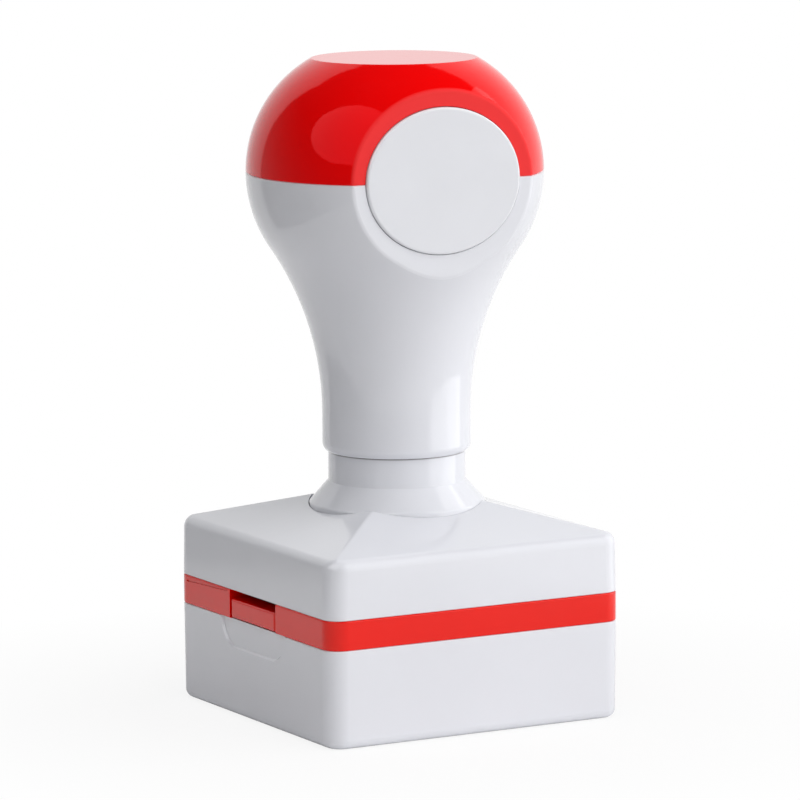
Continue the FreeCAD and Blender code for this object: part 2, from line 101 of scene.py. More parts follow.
class StampColours(bpy.types.PropertyGroup):
    """Colours of the plastics and of what is inked."""

    shell: colour_property("Shell", "#E7E8EE", "White plastic of the housing and the dust cap")
    handle: colour_property("Handle", "#ECEDF3", "White plastic of the grip and the collar")
    dome: colour_property("Dome", "#FC0405", "Red plastic of the handle's top")
    band: colour_property("Band", "#F20804", "Red plastic of the frame and its catch")
    badge: colour_property("Badge", "#EFF0F5", "White plastic of the bare badge")
    # Painted shade: this colour paints the dark line under the handle's lip, where the lip shades
    # the collar.
    lip_shade: colour_property("Lip shade", "#4A3A33", "Painted shade under the handle's lip")
    carrier: colour_property("Carrier", "#232326", "Dark plastic of the ink carrier")
    inner: colour_property("Inner parts", "#A9ABAE", "Grey plastic of the stem and the nut")
    bearing: colour_property("Bearing", "#E4DFCF", "Natural acetal of the bearing")
    steel: colour_property("Steel", "#C6C8CB", "Zinc-plated steel of screws and washers")
    wire: colour_property("Wire", "#A8A9AC", "Bright steel of the return spring")
    rubber: colour_property("Rubber", "#1B1B1C", "Black rubber of the stop ring")
    ink: colour_property("Ink", "#8E1220", "Red ink in the felt")
    foam: colour_property("Foam", "#B8323A", "Inked foam of the printing face")


class StampSizes(bpy.types.PropertyGroup):
    """Sizes of the soft and wound pieces, and of the marks on the plastics."""

    wire_diameter: length_property("Wire", 0.001, "Diameter of the spring's wire")
    open_turns: bpy.props.IntProperty(
        name="Open turns",
        description="Turns between the spring's two closed ends",
        min=2,
        default=6,
    )
    felt_edge: length_property("Felt edge", 0.0008, "Rounding of the felt's edges")
    felt_belly: length_property("Felt belly", 0.0003, "Swelling of the felt between its edges")
    foam_raise: length_property("Foam raise", 0.001, "Height of the printing face on its sheet")
    foam_flange: length_property("Foam flange", 0.0009, "Width of the sheet round the face")
    foam_border: length_property("Foam border", 0.0012, "Width of the border that prints")
    foam_recess: length_property("Foam recess", 0.0003, "Depth of the bare field in the border")
    foam_edge: length_property("Foam edge", 0.00012, "Rounding of the foam's cut edges")
    # This width sets the band of painted shade under the handle's lip.
    lip_shade_line: length_property("Lip shade line", 0.0003, "Width of the line under the handle's lip")
    pin_spacing: length_property("Pin spacing", 0.03, "Distance between the ejector pins' marks")
    pin_diameter: length_property("Pin mark", 0.004, "Diameter of an ejector pin's mark")


class StampStudio(bpy.types.PropertyGroup):
    """Lamps and room, matched to the photograph."""

    side: bpy.props.FloatProperty(
        name="Side lamp", description="Brightness of the large softbox", min=0, default=1.42
    )
    front: bpy.props.FloatProperty(
        name="Front lamp", description="Brightness of the lamp in front", min=0, default=1.04
    )
    top: bpy.props.FloatProperty(
        name="Top lamp", description="Brightness of the lamp overhead", min=0, default=2.09
    )
    panel: bpy.props.FloatProperty(
        name="Left panel",
        description="Brightness of the panel in the dome",
        min=0,
        default=2.1645,
    )
    room: bpy.props.FloatProperty(
        name="Room", description="Brightness of the room as light", min=0, default=0.22
    )
    room_gloss: bpy.props.FloatProperty(
        name="Dim room",
        description="Brightness of the room high up, beside the sweep, as glossy faces show it",
        min=0,
        default=0.06,
    )
    table_gloss: bpy.props.FloatProperty(
        name="Table",
        description="Brightness of the room low down, beyond the board, as glossy faces show it",
        min=0,
        default=0.45,
    )
    floor_lift: bpy.props.FloatProperty(
        name="Floor lift",
        description="How far the floor by the stamp is lifted to white where it is looked at",
        subtype="FACTOR",
        min=0,
        max=1,
        default=0.86,
    )


def feed(node, inputs):
    """Fills or links a node's inputs, named or numbered; a node stands for its first output."""
    for socket, value in inputs.items():
        if isinstance(value, bpy.types.Node):
            value = value.outputs[0]
        if isinstance(value, bpy.types.NodeSocket):
            node.id_data.links.new(value, node.inputs[socket])
        else:
            node.inputs[socket].default_value = value


def add_node(tree, kind, inputs=None, **settings):
    """Adds a node with its settings, and its inputs filled or linked."""
    node = tree.nodes.new(kind)
    for name, value in settings.items():
        setattr(node, name, value)
    feed(node, inputs or {})
    return node


def per_metre(size_mm):
    """Scale of a texture whose features are to be this many millimetres across."""
    return 1 / (size_mm * MILLIMETRE)


def microns(height):
    """A height of so many thousandths of a millimetre, in metres."""
    return height * MILLIMETRE / 1000


def new_finish(name):
    """Starts a material; gives it with its node tree, its shader and the object's coordinates."""
    material = bpy.data.materials.new(name)
    material.use_nodes = True
    tree = material.node_tree
    place = add_node(tree, "ShaderNodeTexCoord").outputs["Object"]
    return material, tree, tree.nodes["Principled BSDF"], place


# Refractive index of ABS, the plastic of the outer shells.
ABS_IOR = 1.54


def polished_abs(name, colour):
    """ABS from a polished mould: clear reflections, a faint orange peel and soft flow shading."""
    material, tree, shader, place = new_finish(name)
    flow = add_node(tree, "ShaderNodeTexNoise", {"Vector": place, "Scale": per_metre(16)})
    shade = add_node(tree, "ShaderNodeMapRange", {"Value": flow, "To Min": 0.97, "To Max": 1.03})
    tint = add_node(tree, "ShaderNodeHueSaturation", {"Value": shade, "Color": (*colour, 1)})
    # Palms leave some patches a little duller than others.
    wear = add_node(tree, "ShaderNodeTexNoise", {"Vector": place, "Scale": per_metre(9)})
    gloss = add_node(tree, "ShaderNodeMapRange", {"Value": wear, "To Min": 0.02, "To Max": 0.09})
    # The orange peel of a moulding is 1 to 2 mm across and a few thousandths high.
    peel = add_node(
        tree, "ShaderNodeTexNoise", {"Vector": place, "Scale": per_metre(1.6), "Detail": 1.0}
    )
    bump = add_node(tree, "ShaderNodeBump", {"Height": peel, "Distance": microns(8)})
    feed(shader, {"Base Color": tint, "Roughness": gloss, "Normal": bump, "IOR": ABS_IOR})
    return material


# Colour in which the dyed dome gives back what it mirrors.
DYED_GLOSS = (1.0, 0.06, 0.08, 1)


def dyed_abs(name, colour):
    """Polished ABS with a see-through dye: what it mirrors comes back red, except at its edges."""
    material = polished_abs(name, colour)
    shader = material.node_tree.nodes["Principled BSDF"]
    feed(shader, {"Specular Tint": DYED_GLOSS})
    return material


# The flat round the badge keeps the spark-eroded face of its mould: its roughness, the share of
# white painted into its colour as a sheen that stands in for the lamps' reflection, and the depth
# in which it goes over to the polish at its edge.
FLAT_ROUGHNESS = 0.45
FLAT_PAINTED_SHEEN = 0.05
FLAT_EDGE = 0.3 * MILLIMETRE


def dull_flat(material, node):
    """Dulls this node's flat round the badge, and paints a white sheen into its colour."""
    tree = material.node_tree
    shader = tree.nodes["Principled BSDF"]
    low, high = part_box("handle_badge")
    facing = Vector((low.x + high.x, low.y + high.y, 0)).normalized()
    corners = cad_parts[node].data.vertices
    flat_distance = max(corner.co.dot(facing) for corner in corners)
    place = add_node(tree, "ShaderNodeTexCoord").outputs["Object"]
    outwards = add_node(
        tree, "ShaderNodeVectorMath", {0: place, 1: facing}, operation="DOT_PRODUCT"
    ).outputs["Value"]
    flat = add_node(
        tree,
        "ShaderNodeMapRange",
        {"Value": outwards, "From Min": flat_distance - FLAT_EDGE, "From Max": flat_distance},
    )
    polish = shader.inputs["Roughness"].links[0].from_socket
    gloss = add_node(
        tree, "ShaderNodeMapRange", {"Value": flat, "To Min": polish, "To Max": FLAT_ROUGHNESS}
    )
    # Painted sheen: some white mixed into the flat's colour stands in for the lamps' reflection on
    # it.
    painted_sheen = add_node(tree, "ShaderNodeMath", {0: flat, 1: FLAT_PAINTED_SHEEN}, operation="MULTIPLY")
    clean = shader.inputs["Base Color"].links[0].from_socket
    tint = add_node(
        tree, "ShaderNodeMixRGB", {"Fac": painted_sheen, "Color1": clean, "Color2": (1, 1, 1, 1)}
    )
    feed(shader, {"Base Color": tint, "Roughness": gloss})


def shaded_sleeve_abs(name, colour, lip_height, shade_colour, shade_width):
    """Polished ABS with a painted line of shade just below the height of the handle's lip, where
    the lip shades it.
    """
    material = polished_abs(name, colour)
    tree = material.node_tree
    shader = tree.nodes["Principled BSDF"]
    place = add_node(tree, "ShaderNodeTexCoord").outputs["Object"]
    height = add_node(tree, "ShaderNodeSeparateXYZ", {"Vector": place}).outputs["Z"]
    # Painted shade: the colour darkens to the given shade colour just below the lip's height,
    # where the lip shades the collar.
    line = add_node(
        tree,
        "ShaderNodeMapRange",
        {"Value": height, "From Min": lip_height - shade_width, "From Max": lip_height},
        interpolation_type="SMOOTHSTEP",
    )
    clean = shader.inputs["Base Color"].links[0].from_socket
    tint = add_node(
        tree, "ShaderNodeMixRGB", {"Fac": line, "Color1": clean, "Color2": (*shade_colour, 1)}
    )
    feed(shader, {"Base Color": tint})
    return material


def moulded_shell_abs(name, colour):
    """ABS of the box-like shells: a plainer mould, so a softer gloss over a fine grain."""
    material, tree, shader, place = new_finish(name)
    flow = add_node(tree, "ShaderNodeTexNoise", {"Vector": place, "Scale": per_metre(22)})
    shade = add_node(tree, "ShaderNodeMapRange", {"Value": flow, "To Min": 0.96, "To Max": 1.03})
    tint = add_node(tree, "ShaderNodeHueSaturation", {"Value": shade, "Color": (*colour, 1)})
    wear = add_node(tree, "ShaderNodeTexNoise", {"Vector": place, "Scale": per_metre(11)})
    gloss = add_node(tree, "ShaderNodeMapRange", {"Value": wear, "To Min": 0.05, "To Max": 0.16})
    peel = add_node(
        tree, "ShaderNodeTexNoise", {"Vector": place, "Scale": per_metre(2.2), "Detail": 1.0}
    )
    wave = add_node(tree, "ShaderNodeBump", {"Height": peel, "Distance": microns(9)})
    # The mould's grain is 0.05 mm; 0.25 mm is the finest that shows here.
    grain = add_node(tree, "ShaderNodeTexNoise", {"Vector": place, "Scale": per_metre(0.25)})
    bump = add_node(
        tree, "ShaderNodeBump", {"Height": grain, "Distance": microns(3), "Normal": wave}
    )
    feed(shader, {"Base Color": tint, "Roughness": gloss, "Normal": bump, "IOR": ABS_IOR})
    return material


# Share of a pin mark's radius over which its edge is rounded, inwards and outwards.
PIN_EDGE = 0.05


def dust_cap_abs(name, colour, pin_spacing, pin_diameter):
    """Shell plastic with the round marks that the mould's four ejector pins leave in the floor."""
    material = moulded_shell_abs(name, colour)
    tree = material.node_tree
    shader = tree.nodes["Principled BSDF"]
    place = add_node(tree, "ShaderNodeTexCoord").outputs["Object"]
    level = add_node(tree, "ShaderNodeVectorMath", {0: place, 1: (1, 1, 0)}, operation="MULTIPLY")
    folded = add_node(tree, "ShaderNodeVectorMath", {0: level}, operation="ABSOLUTE")
    pin = (pin_spacing / 2, pin_spacing / 2, 0)
    away = add_node(tree, "ShaderNodeVectorMath", {0: folded, 1: pin}, operation="DISTANCE")
    radius = pin_diameter / 2
    disc = add_node(
        tree,
        "ShaderNodeMapRange",
        {
            "Value": away.outputs["Value"],
            "From Min": radius * (1 - PIN_EDGE),
            "From Max": radius * (1 + PIN_EDGE),
        },
    )
    grained = shader.inputs["Normal"].links[0].from_node
    mark = add_node(
        tree, "ShaderNodeBump", {"Height": disc, "Distance": microns(60), "Normal": grained}
    )
    feed(shader, {"Normal": mark})
    return material


# The frame's plastic is a little see-through, so its gloss is warm except where it is grazing.
WARM_GLOSS = (1.0, 0.78, 0.65, 1)


def satin_polypropylene(name, colour):
    """Polypropylene from a spark-eroded mould: satin, so a soft gloss lies over the red."""
    material, tree, shader, place = new_finish(name)
    flow = add_node(tree, "ShaderNodeTexNoise", {"Vector": place, "Scale": per_metre(12)})
    shade = add_node(tree, "ShaderNodeMapRange", {"Value": flow, "To Min": 0.92, "To Max": 1.04})
    tint = add_node(tree, "ShaderNodeHueSaturation", {"Value": shade, "Color": (*colour, 1)})
    rubbed = add_node(tree, "ShaderNodeTexNoise", {"Vector": place, "Scale": per_metre(5)})
    gloss = add_node(tree, "ShaderNodeMapRange", {"Value": rubbed, "To Min": 0.1, "To Max": 0.24})
    waves = add_node(tree, "ShaderNodeTexNoise", {"Vector": place, "Scale": per_metre(2.5)})
    peel = add_node(tree, "ShaderNodeBump", {"Height": waves, "Distance": microns(10)})
    # Spark erosion leaves pits of about 0.05 mm; 0.3 mm is the finest that shows here.
    pits = add_node(tree, "ShaderNodeTexNoise", {"Vector": place, "Scale": per_metre(0.3)})
    bump = add_node(
        tree, "ShaderNodeBump", {"Height": pits, "Distance": microns(8), "Normal": peel}
    )
    feed(shader, {"Base Color": tint, "Roughness": gloss, "Normal": bump, "IOR": 1.49})
    feed(shader, {"Specular Tint": WARM_GLOSS})
    return material


def badge_styrene(name, colour):
    """Pressed-in styrene disc: smooth and bare, with the slight waves of a thin moulding."""
    material, tree, shader, place = new_finish(name)
    flow = add_node(tree, "ShaderNodeTexNoise", {"Vector": place, "Scale": per_metre(7)})
    shade = add_node(tree, "ShaderNodeMapRange", {"Value": flow, "To Min": 0.97, "To Max": 1.02})
    tint = add_node(tree, "ShaderNodeHueSaturation", {"Value": shade, "Color": (*colour, 1)})
    rubbed = add_node(tree, "ShaderNodeTexNoise", {"Vector": place, "Scale": per_metre(4)})
    gloss = add_node(tree, "ShaderNodeMapRange", {"Value": rubbed, "To Min": 0.14, "To Max": 0.26})
    waves = add_node(
        tree, "ShaderNodeTexNoise", {"Vector": place, "Scale": per_metre(5), "Detail": 1.0}
    )
    bump = add_node(tree, "ShaderNodeBump", {"Height": waves, "Distance": microns(20)})
    feed(shader, {"Base Color": tint, "Roughness": gloss, "Normal": bump, "IOR": 1.59})
    return material


def plain_moulded(name, colour):
    """Plastic of the inner pieces, from a mould that nobody polished: dull, with flow lines."""
    material, tree, shader, place = new_finish(name)
    flow = add_node(tree, "ShaderNodeTexNoise", {"Vector": place, "Scale": per_metre(6)})
    shade = add_node(tree, "ShaderNodeMapRange", {"Value": flow, "To Min": 0.85, "To Max": 1.1})
    tint = add_node(tree, "ShaderNodeHueSaturation", {"Value": shade, "Color": (*colour, 1)})
    rubbed = add_node(tree, "ShaderNodeTexNoise", {"Vector": place, "Scale": per_metre(3)})
    gloss = add_node(tree, "ShaderNodeMapRange", {"Value": rubbed, "To Min": 0.36, "To Max": 0.55})
    # Tool marks of the bare mould are 0.1 mm; 0.35 mm is the finest that shows here.
    marks = add_node(tree, "ShaderNodeTexNoise", {"Vector": place, "Scale": per_metre(0.35)})
    bump = add_node(tree, "ShaderNodeBump", {"Height": marks, "Distance": microns(12)})
    feed(shader, {"Base Color": tint, "Roughness": gloss, "Normal": bump, "IOR": 1.5})
    return material


# Length of one band of a wave texture whose scale is 1.
WAVE_BAND = math.tau / 20


def plated_steel(name, colour, thread_pitch_mm):
    """Turned and zinc-plated steel: bright, a little cloudy, ridged where it is threaded."""
    material, tree, shader, place = new_finish(name)
    cloud = add_node(tree, "ShaderNodeTexNoise", {"Vector": place, "Scale": per_metre(2)})
    shade = add_node(tree, "ShaderNodeMapRange", {"Value": cloud, "To Min": 0.82, "To Max": 1.1})
    tint = add_node(tree, "ShaderNodeHueSaturation", {"Value": shade, "Color": (*colour, 1)})
    film = add_node(tree, "ShaderNodeTexNoise", {"Vector": place, "Scale": per_metre(1.2)})
    gloss = add_node(tree, "ShaderNodeMapRange", {"Value": film, "To Min": 0.18, "To Max": 0.38})
    bands = per_metre(thread_pitch_mm) * WAVE_BAND
    ridges = add_node(
        tree, "ShaderNodeTexWave", {"Vector": place, "Scale": bands}, bands_direction="Z"
    )
    bump = add_node(tree, "ShaderNodeBump", {"Height": ridges, "Distance": microns(150)})
    feed(shader, {"Base Color": tint, "Roughness": gloss, "Normal": bump, "Metallic": 1.0})
    return material


def drawn_wire_steel(name, colour):
    """Spring wire drawn through a die: bright, with fine scratches and an oily film."""
    material, tree, shader, place = new_finish(name)
    cloud = add_node(tree, "ShaderNodeTexNoise", {"Vector": place, "Scale": per_metre(1.5)})
    shade = add_node(tree, "ShaderNodeMapRange", {"Value": cloud, "To Min": 0.78, "To Max": 1.1})
    tint = add_node(tree, "ShaderNodeHueSaturation", {"Value": shade, "Color": (*colour, 1)})
    film = add_node(tree, "ShaderNodeTexNoise", {"Vector": place, "Scale": per_metre(0.8)})
    gloss = add_node(tree, "ShaderNodeMapRange", {"Value": film, "To Min": 0.2, "To Max": 0.36})
    # Scratches of the die are 0.02 mm apart; 0.2 mm is the finest that shows here.
    marks = add_node(tree, "ShaderNodeTexNoise", {"Vector": place, "Scale": per_metre(0.2)})
    bump = add_node(tree, "ShaderNodeBump", {"Height": marks, "Distance": microns(6)})
    feed(shader, {"Base Color": tint, "Roughness": gloss, "Normal": bump, "Metallic": 1.0})
    return material


def nitrile_rubber(name, colour):
    """Moulded nitrile rubber: nearly black and dull, greyed in patches by its bloom."""
    material, tree, shader, place = new_finish(name)
    bloom = add_node(tree, "ShaderNodeTexNoise", {"Vector": place, "Scale": per_metre(1.5)})
    shade = add_node(tree, "ShaderNodeMapRange", {"Value": bloom, "To Min": 0.7, "To Max": 1.6})
    tint = add_node(tree, "ShaderNodeHueSaturation", {"Value": shade, "Color": (*colour, 1)})
    gloss = add_node(tree, "ShaderNodeMapRange", {"Value": bloom, "To Min": 0.5, "To Max": 0.8})
    skin = add_node(tree, "ShaderNodeTexNoise", {"Vector": place, "Scale": per_metre(0.3)})
    bump = add_node(tree, "ShaderNodeBump", {"Height": skin, "Distance": microns(20)})
    feed(shader, {"Base Color": tint, "Roughness": gloss, "Normal": bump, "IOR": 1.52})
    return material


def inked_felt(name, colour):
    """Pressed wool felt full of ink: matted fibres with a weak sheen, wetter and drier patches."""
    material, tree, shader, place = new_finish(name)
    wet = add_node(
        tree, "ShaderNodeTexNoise", {"Vector": place, "Scale": per_metre(5), "Detail": 5.0}
    )
    shade = add_node(tree, "ShaderNodeMapRange", {"Value": wet, "To Min": 0.5, "To Max": 1.35})
    tint = add_node(tree, "ShaderNodeHueSaturation", {"Value": shade, "Color": (*colour, 1)})
    gloss = add_node(tree, "ShaderNodeMapRange", {"Value": wet, "To Min": 0.5, "To Max": 0.95})
    mats = add_node(tree, "ShaderNodeTexNoise", {"Vector": place, "Scale": per_metre(1.4)})
    lumps = add_node(tree, "ShaderNodeBump", {"Height": mats, "Distance": microns(120)})
    # Single fibres are 0.02 mm; bundles of 0.3 mm are the finest that show here.
    lying = add_node(tree, "ShaderNodeMapping", {"Vector": place, "Scale": (0.3, 1, 1)})
    fibres = add_node(
        tree, "ShaderNodeTexNoise", {"Vector": lying, "Scale": per_metre(0.3), "Detail": 4.0}
    )
    bump = add_node(
        tree, "ShaderNodeBump", {"Height": fibres, "Distance": microns(120), "Normal": lumps}
    )
    feed(shader, {"Base Color": tint, "Roughness": gloss, "Normal": bump, "IOR": 1.45})
    feed(shader, {"Sheen Weight": 0.25, "Sheen Roughness": 0.5})
    return material


def microcell_foam(name, colour):
    """Fine open-cell foam, inked through: its pores show as pin holes in a matt skin."""
    material, tree, shader, place = new_finish(name)
    inking = add_node(
        tree, "ShaderNodeTexNoise", {"Vector": place, "Scale": per_metre(4), "Detail": 4.0}
    )
    shade = add_node(tree, "ShaderNodeMapRange", {"Value": inking, "To Min": 0.75, "To Max": 1.2})
    tint = add_node(tree, "ShaderNodeHueSaturation", {"Value": shade, "Color": (*colour, 1)})
    gloss = add_node(tree, "ShaderNodeMapRange", {"Value": inking, "To Min": 0.45, "To Max": 0.75})
    # Real cells are 0.02 mm; 0.35 mm is the finest that shows here.
    cells = add_node(tree, "ShaderNodeTexVoronoi", {"Vector": place, "Scale": per_metre(0.35)})
    bump = add_node(tree, "ShaderNodeBump", {"Height": cells, "Distance": microns(50)})
    feed(shader, {"Base Color": tint, "Roughness": gloss, "Normal": bump, "IOR": 1.45})
    return material


def dress(nodes, material):
    """Gives carried-over CAD nodes a better material on the slots that they have."""
    for name in nodes:
        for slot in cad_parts[name].material_slots:
            slot.material = material


def deselect_all():
    bpy.ops.object.select_all(action="DESELECT")


# A face looks down when its normal falls by more than this.
STEEP_FALL = 0.9


def select_underside(piece):
    """Selects, in edit mode, the faces that look down."""
    bpy.ops.object.mode_set(mode="OBJECT")
    for element in (*piece.data.vertices, *piece.data.edges, *piece.data.polygons):
        element.select = False
    for face in piece.data.polygons:
        face.select = face.normal.z < -STEEP_FALL
    bpy.ops.object.mode_set(mode="EDIT")


def add_cuboid(name, low, high):
    """Adds a block between two corners and leaves it in edit mode, selected all over."""
    deselect_all()
    bpy.ops.mesh.primitive_cube_add(size=1, location=(low + high) / 2, scale=high - low)
    piece = bpy.context.object
    piece.name = name
    bpy.ops.object.transform_apply()
    bpy.ops.object.mode_set(mode="EDIT")
    bpy.ops.mesh.select_mode(type="FACE")
    bpy.ops.mesh.select_all(action="SELECT")
    return piece


def apply_modifier(piece, kind, **settings):
    modifier = piece.modifiers.new(kind.title(), kind)
    for name, value in settings.items():
        setattr(modifier, name, value)
    bpy.ops.object.modifier_apply(modifier=modifier.name)


def finish_mesh(piece, material, smooth_degrees=40):
    """Leaves edit mode with the faces outwards, smooths the piece and gives it its material."""
    bpy.ops.mesh.select_all(action="SELECT")
    bpy.ops.mesh.normals_make_consistent(inside=False)
    bpy.ops.object.mode_set(mode="OBJECT")
    bpy.ops.object.shade_smooth_by_angle(angle=math.radians(smooth_degrees))
    piece.data.materials.append(material)


class STAMP_OT_white_shells(bpy.types.Operator):
    """Finish the white pieces: housing, dust cap, grip and collar"""

    bl_idname = "stamp.white_shells"
    bl_label = "White shells"

    def execute(self, context):
        colours = context.scene.stamp_colours
        sizes = context.scene.stamp_sizes
        dress(["upper_housing"], moulded_shell_abs("White ABS, moulded", colours.shell))
        cap = dust_cap_abs(
            "White ABS with pin marks", colours.shell, sizes.pin_spacing, sizes.pin_diameter
        )
        dress(["dust_cap"], cap)
        bulb = polished_abs("White ABS, polished", colours.handle)
        dull_flat(bulb, "handle_bulb")
        dress(["handle_bulb"], bulb)
        # The collar gets a line of painted shade under the handle's lip.
        lip_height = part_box("handle_bulb")[0].z
        sleeve = shaded_sleeve_abs(
            "White ABS, painted lip shade", colours.handle, lip_height, colours.lip_shade, sizes.lip_shade_line
        )
        dress(["guide_collar"], sleeve)
        return {"FINISHED"}


class STAMP_OT_red_plastics(bpy.types.Operator):
    """Finish the red dome, the red frame and its catch"""

    bl_idname = "stamp.red_plastics"
    bl_label = "Red plastics"

    def execute(self, context):
        colours = context.scene.stamp_colours
        dome = dyed_abs("Red ABS, polished", colours.dome)
        dull_flat(dome, "handle_dome")
        dress(["handle_dome"], dome)
        dress(["red_frame", "cap_catch"], satin_polypropylene("Red polypropylene", colours.band))
        return {"FINISHED"}


class STAMP_OT_badge(bpy.types.Operator):
    """Finish the bare oval badge"""

    bl_idname = "stamp.badge"
    bl_label = "Badge"

    def execute(self, context):
        dress(["handle_badge"], badge_styrene("White styrene", context.scene.stamp_colours.badge))
        return {"FINISHED"}


class STAMP_OT_mechanism(bpy.types.Operator):
    """Finish what lies inside: stem, nut, bearing, carrier, screws, washers and stop ring"""

    bl_idname = "stamp.mechanism"
    bl_label = "Mechanism"

    def execute(self, context):
        colours = context.scene.stamp_colours
        dress(["plunger_stem", "collar_nut"], plain_moulded("Grey ABS", colours.inner))
        dress(["stem_bush"], plain_moulded("Natural acetal", colours.bearing))
        dress(["die_carrier", "foam_retainer"], plain_moulded("Black ABS", colours.carrier))
        coarse = plated_steel(
            "Zinc-plated steel, coarse thread", colours.steel, thread_pitch_mm=1.06
        )
        dress(["handle_screw", "handle_washer", "spring_washer"], coarse)
        fine = plated_steel("Zinc-plated steel, fine thread", colours.steel, thread_pitch_mm=0.7)
        dress(["carrier_screws"], fine)
        dress(["stop_ring"], nitrile_rubber("Nitrile rubber", colours.rubber))
        return {"FINISHED"}


# Sides of the wire's round section, and steps along one turn of the spring.
WIRE_SIDES = 14
TURN_STEPS = 40
# Share of the wire that grinding leaves beyond the centre line at each end of the spring.
GROUND_SHARE = 0.3
# Ends of two windings that lie this near to each other are joined.
WELD_DISTANCE = 0.02 * MILLIMETRE


def wind_wire(wire, mean_radius, start, rise, turns):
    """Sweeps the wire's round section up a screw line about the Z axis."""
    deselect_all()
    bpy.ops.mesh.primitive_circle_add(
        vertices=WIRE_SIDES,
        radius=wire / 2,
        location=(mean_radius, 0, start),
        rotation=(math.pi / 2, 0, 0),
    )
    bpy.ops.object.transform_apply()
    winding = bpy.context.object
    apply_modifier(
        winding,
        "SCREW",
        screw_offset=rise,
        iterations=turns,
        steps=TURN_STEPS,
        render_steps=TURN_STEPS,
        use_smooth_shade=True,
    )
    return winding


class STAMP_OT_return_spring(bpy.types.Operator):
    """Wind the return spring, with its end turns closed and ground flat"""

    bl_idname = "stamp.return_spring"
    bl_label = "Return spring"

    def execute(self, context):
        sizes = context.scene.stamp_sizes
        low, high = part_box("return_spring")
        wire = sizes.wire_diameter
        mean_radius = (high.x - low.x - wire) / 2
        start = low.z + GROUND_SHARE * wire
        end = high.z - GROUND_SHARE * wire
        open_rise = (end - start - 2 * wire) / sizes.open_turns
        foot = wind_wire(wire, mean_radius, start, wire, 1)
        middle = wind_wire(wire, mean_radius, start + wire, open_rise, sizes.open_turns)
        spring = wind_wire(wire, mean_radius, end - wire, wire, 1)
        foot.select_set(True)
        middle.select_set(True)
        bpy.ops.object.join()
        spring.name = "return_spring_wound"
        bpy.ops.object.mode_set(mode="EDIT")
        bpy.ops.mesh.select_all(action="SELECT")
        bpy.ops.mesh.remove_doubles(threshold=WELD_DISTANCE)
        for height, outwards in ((low.z, -1), (high.z, 1)):
            bpy.ops.mesh.select_all(action="SELECT")
            bpy.ops.mesh.bisect(
                plane_co=(0, 0, height),
                plane_no=(0, 0, outwards),
                use_fill=True,
                clear_outer=True,
            )
        bpy.ops.mesh.select_all(action="SELECT")
        bpy.ops.mesh.fill_holes(sides=0)
        colours = context.scene.stamp_colours
        finish_mesh(spring, drawn_wire_steel("Drawn spring wire", colours.wire))
        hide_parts("return_spring")
        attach(spring, "plunger")
        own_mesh(spring)
        return {"FINISHED"}


def swell(piece, centre, half, height):
    """Pushes each face of a block out by this height at its middle, and not at its edges."""
    for vertex in piece.data.vertices:
        share = [(vertex.co[axis] - centre[axis]) / half[axis] for axis in range(3)]
        for axis in range(3):
            across = [1 - share[other] ** 2 for other in range(3) if other != axis]
            vertex.co[axis] += height * share[axis] ** 3 * across[0] * across[1]


# Cuts across each face of the felt block, and segments of the soft pieces' rounded edges.
FELT_CUTS = 11
EDGE_SEGMENTS = 3


class STAMP_OT_ink_pad(bpy.types.Operator):
    """Model the felt block that holds the ink"""

    bl_idname = "stamp.ink_pad"
    bl_label = "Ink pad"

    def execute(self, context):
        sizes = context.scene.stamp_sizes
        low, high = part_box("ink_pad")
        # Cut felt bellies a little between its edges, so the block starts inside its box.
        belly = Vector((sizes.felt_belly, sizes.felt_belly, sizes.felt_belly))
        felt = add_cuboid("ink_pad_felt", low + belly, high - belly)
        bpy.ops.mesh.subdivide(number_cuts=FELT_CUTS)
        bpy.ops.object.mode_set(mode="OBJECT")
        swell(felt, (low + high) / 2, (high - low) / 2, sizes.felt_belly)
        apply_modifier(
            felt,
            "BEVEL",
            width=sizes.felt_edge,
            segments=EDGE_SEGMENTS,
            angle_limit=math.radians(60),
        )
        apply_modifier(felt, "SUBSURF", levels=1, render_levels=1)
        bpy.ops.object.mode_set(mode="EDIT")
        material = inked_felt("Wool felt, inked", context.scene.stamp_colours.ink)
        finish_mesh(felt, material, smooth_degrees=60)
        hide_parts("ink_pad")
        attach(felt, "plunger")
        return {"FINISHED"}


class STAMP_OT_printing_foam(bpy.types.Operator):
    """Model the foam sheet with its raised printing face: a plain border round a bare field"""

    bl_idname = "stamp.printing_foam"
    bl_label = "Printing foam"

    def execute(self, context):
        sizes = context.scene.stamp_sizes
        low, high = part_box("stamp_foam")
        sheet_low = Vector((low.x, low.y, low.z + sizes.foam_raise))
        foam = add_cuboid("stamp_foam_sheet", sheet_low, high)
        select_underside(foam)
        bpy.ops.mesh.inset(thickness=sizes.foam_flange)
        bpy.ops.mesh.extrude_region_move(
            TRANSFORM_OT_translate={"value": (0, 0, -sizes.foam_raise)}
        )
        bpy.ops.mesh.inset(thickness=sizes.foam_border)
        bpy.ops.mesh.extrude_region_move(
            TRANSFORM_OT_translate={"value": (0, 0, sizes.foam_recess)}
        )
        bpy.ops.object.mode_set(mode="OBJECT")
        apply_modifier(foam, "BEVEL", width=sizes.foam_edge, segments=EDGE_SEGMENTS)
        bpy.ops.object.mode_set(mode="EDIT")
        finish_mesh(foam, microcell_foam("Microcell foam", context.scene.stamp_colours.foam))
        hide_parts("stamp_foam")
        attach(foam, "plunger")
        return {"FINISHED"}


# The photograph's camera, found by fitting the stamp's straight edges and circles to it.
CAMERA_AZIMUTH = math.radians(-28.91)
CAMERA_ELEVATION = math.radians(8.45)
CAMERA_ROLL = math.radians(-0.401)
CAMERA_DISTANCE = 0.764486
CAMERA_AIM_RIGHT = 0.000495
CAMERA_AIM_HEIGHT = 0.042577
CAMERA_LENS_MM = 251.84
SENSOR_MM = 36.0


